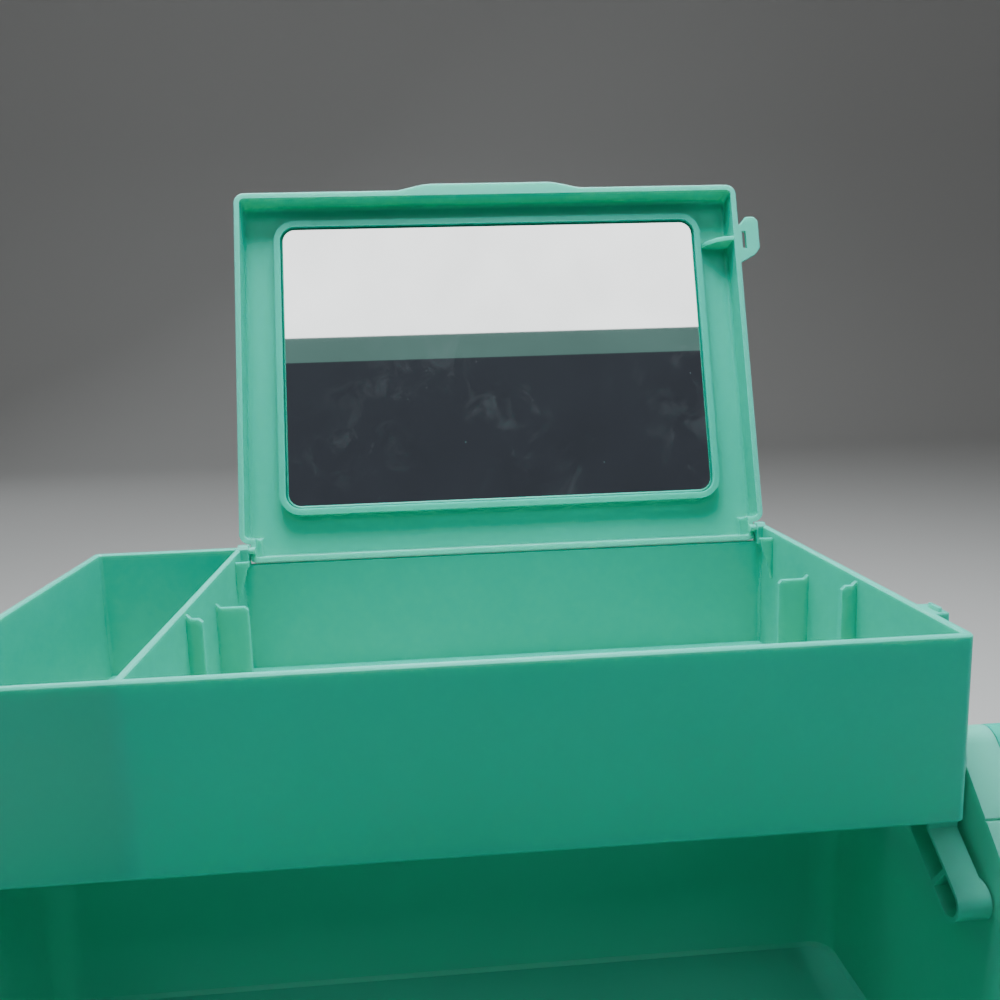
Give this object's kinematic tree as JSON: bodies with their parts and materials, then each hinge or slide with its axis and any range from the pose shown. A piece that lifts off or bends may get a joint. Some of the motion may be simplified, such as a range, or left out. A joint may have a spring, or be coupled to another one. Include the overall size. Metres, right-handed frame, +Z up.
{
  "type": "makeup storage case",
  "caption": "Carrying case for makeup: open bin, cantilever tray with a short and a long compartment, hinged mirror lid with a clasp tab, and a swinging carrying handle",
  "frame": {"origin": "centre of the flat underside of the base bin, on the floor", "axes": "X along the length of the case, +Y away from the person who opens it, +Z up"},
  "size_m": [0.3126, 0.2625, 0.2869],
  "materials": {
    "case_plastic": "satin moulded plastic, mint green",
    "link_plastic": "satin moulded plastic, mint green",
    "pin_plastic": "moulded plastic pin, mint green",
    "mirror_glass": "silvered glass with a ground bevel",
    "tape_foam": "white double-sided foam tape"
  },
  "bodies": {
    "base": {"base_bin": "case_plastic", "front_lower_pin_left": "pin_plastic", "front_lower_pin_right": "pin_plastic", "rear_lower_pin_left": "pin_plastic", "rear_lower_pin_right": "pin_plastic", "handle_pin_left": "pin_plastic", "handle_pin_right": "pin_plastic"},
    "front_links": {"front_link_left": "link_plastic", "front_link_right": "link_plastic"},
    "rear_links": {"rear_link_left": "link_plastic", "rear_link_right": "link_plastic"},
    "tray": {"upper_tray": "case_plastic", "front_upper_pin_left": "pin_plastic", "front_upper_pin_right": "pin_plastic", "rear_upper_pin_left": "pin_plastic", "rear_upper_pin_right": "pin_plastic"},
    "lid": {"mirror_lid": "case_plastic", "mirror_tape": "tape_foam", "mirror": "mirror_glass"},
    "handle": {"handle": "case_plastic"}
  },
  "joints": [
    {"name": "front_link_swing", "type": "hinge", "parent": "base", "child": "front_links", "pos_m": [0, -0.014, 0.0754], "axis": [1, 0, 0], "range_deg": [0, 120]},
    {"name": "rear_link_swing", "type": "hinge", "parent": "base", "child": "rear_links", "pos_m": [0, 0.042, 0.0754], "axis": [1, 0, 0], "range_deg": [0, 120]},
    {"name": "tray_level", "type": "hinge", "parent": "front_links", "child": "tray", "pos_m": [0, -0.00121, 0.11054], "axis": [1, 0, 0], "range_deg": [-120, 0]},
    {"name": "lid_hinge", "type": "hinge", "parent": "tray", "child": "lid", "pos_m": [0, 0.1181, 0.149], "axis": [1, 0, 0], "range_deg": [0, 106.5]},
    {"name": "handle_swing", "type": "hinge", "parent": "base", "child": "handle", "pos_m": [0, 0.0055, 0.107], "axis": [-1, 0, 0], "range_deg": [0, 126.5]}
  ],
  "couplings": [
    {"joint": "rear_link_swing", "follows": "front_link_swing", "ratio": 1},
    {"joint": "tray_level", "follows": "front_link_swing", "ratio": -1}
  ]
}
